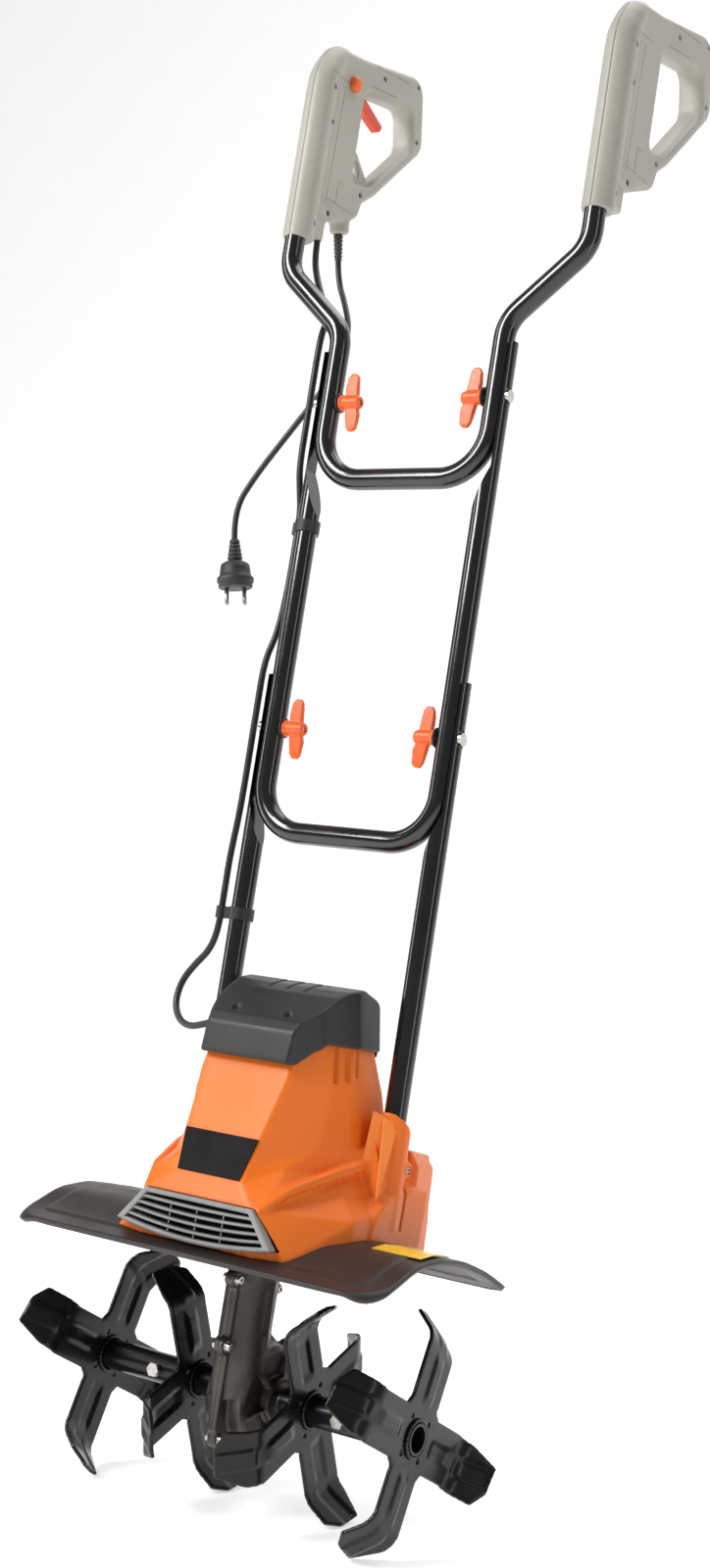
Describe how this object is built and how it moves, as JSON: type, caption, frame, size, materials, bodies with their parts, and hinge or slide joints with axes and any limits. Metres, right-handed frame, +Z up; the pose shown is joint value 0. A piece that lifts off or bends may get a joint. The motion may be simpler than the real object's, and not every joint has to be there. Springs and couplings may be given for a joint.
{
  "type": "electric rotavator",
  "caption": "Walk-behind electric soil tiller with tined rotor, orange motor housing and folding two-handed handle.",
  "frame": {"origin": "middle of the footprint on the ground, under the machine as it stands on its tines", "axes": "+X to the machine's right seen by the person who steers it, +Y rearward to that person, +Z up"},
  "size_m": [0.4456, 0.4646, 1.5129],
  "materials": {
    "gear_case": "cast, gunmetal brown",
    "black_steel": "black oxide",
    "motor": "plain block inside the housing",
    "guard": "fine moulded grain",
    "yellow_label": "blank film label",
    "housing": "satin moulded",
    "charcoal": "fine moulded grain",
    "black_plate": "blank, glossy",
    "handle_tube": "black powder coat",
    "zinc_bolt": "zinc plated",
    "orange_trim": "moulded",
    "grip_grey": "fine moulded grain",
    "grille_grey": "satin moulded",
    "black_plastic": "fine moulded grain",
    "cable": "satin sheath",
    "steel_shaft": "turned",
    "tine_paint": "black enamel",
    "black_rubber": "moulded"
  },
  "bodies": {
    "chassis": {"gear_case_left": "gear_case", "gear_case_right": "gear_case", "gear_case_screws": "black_steel", "motor": "motor", "guard": "guard", "guard_label": "yellow_label", "housing": "housing", "grille": "grille_grey", "front_plate": "black_plate", "cap": "charcoal", "lower_tube_left": "handle_tube", "lower_tube_right": "handle_tube", "lower_pivot_bolts": "zinc_bolt", "lower_wing_nuts": "orange_trim", "lead_clip_lower": "black_plastic", "motor_lead_lower": "cable"},
    "rotor": {"rotor_shaft": "steel_shaft", "rotor_tube_left": "tine_paint", "rotor_tube_right": "tine_paint", "rotor_bolts": "zinc_bolt", "star_outer_left": "tine_paint", "star_inner_left": "tine_paint", "star_inner_right": "tine_paint", "star_outer_right": "tine_paint"},
    "middle_handle": {"middle_frame": "handle_tube", "upper_pivot_bolts": "zinc_bolt", "upper_wing_nuts": "orange_trim", "lead_clip_middle": "black_plastic", "motor_lead_middle": "cable", "motor_lead_flex_lower": "cable"},
    "upper_handle": {"upper_frame": "handle_tube", "grip_left": "grip_grey", "grip_right": "grip_grey", "switch_lever": "orange_trim", "lock_button": "orange_trim", "motor_lead_upper": "cable", "motor_lead_flex_upper": "cable", "mains_relief": "black_rubber", "mains_cord": "cable", "mains_plug": "black_rubber"}
  },
  "joints": [
    {"name": "rotor_spin", "type": "hinge", "parent": "chassis", "child": "rotor", "pos_m": [0, -0.09051, 0.10737], "axis": [1, 0, 0], "continuous": true},
    {"name": "lower_fold", "type": "hinge", "parent": "chassis", "child": "middle_handle", "pos_m": [0, -0.02522, 0.74705], "axis": [-1, 0, 0], "range_deg": [0, 130], "deforming": ["motor_lead_flex_lower"]},
    {"name": "upper_fold", "type": "hinge", "parent": "middle_handle", "child": "upper_handle", "pos_m": [0, 0.00739, 1.0875], "axis": [1, 0, 0], "range_deg": [0, 160], "deforming": ["motor_lead_flex_upper"]}
  ]
}
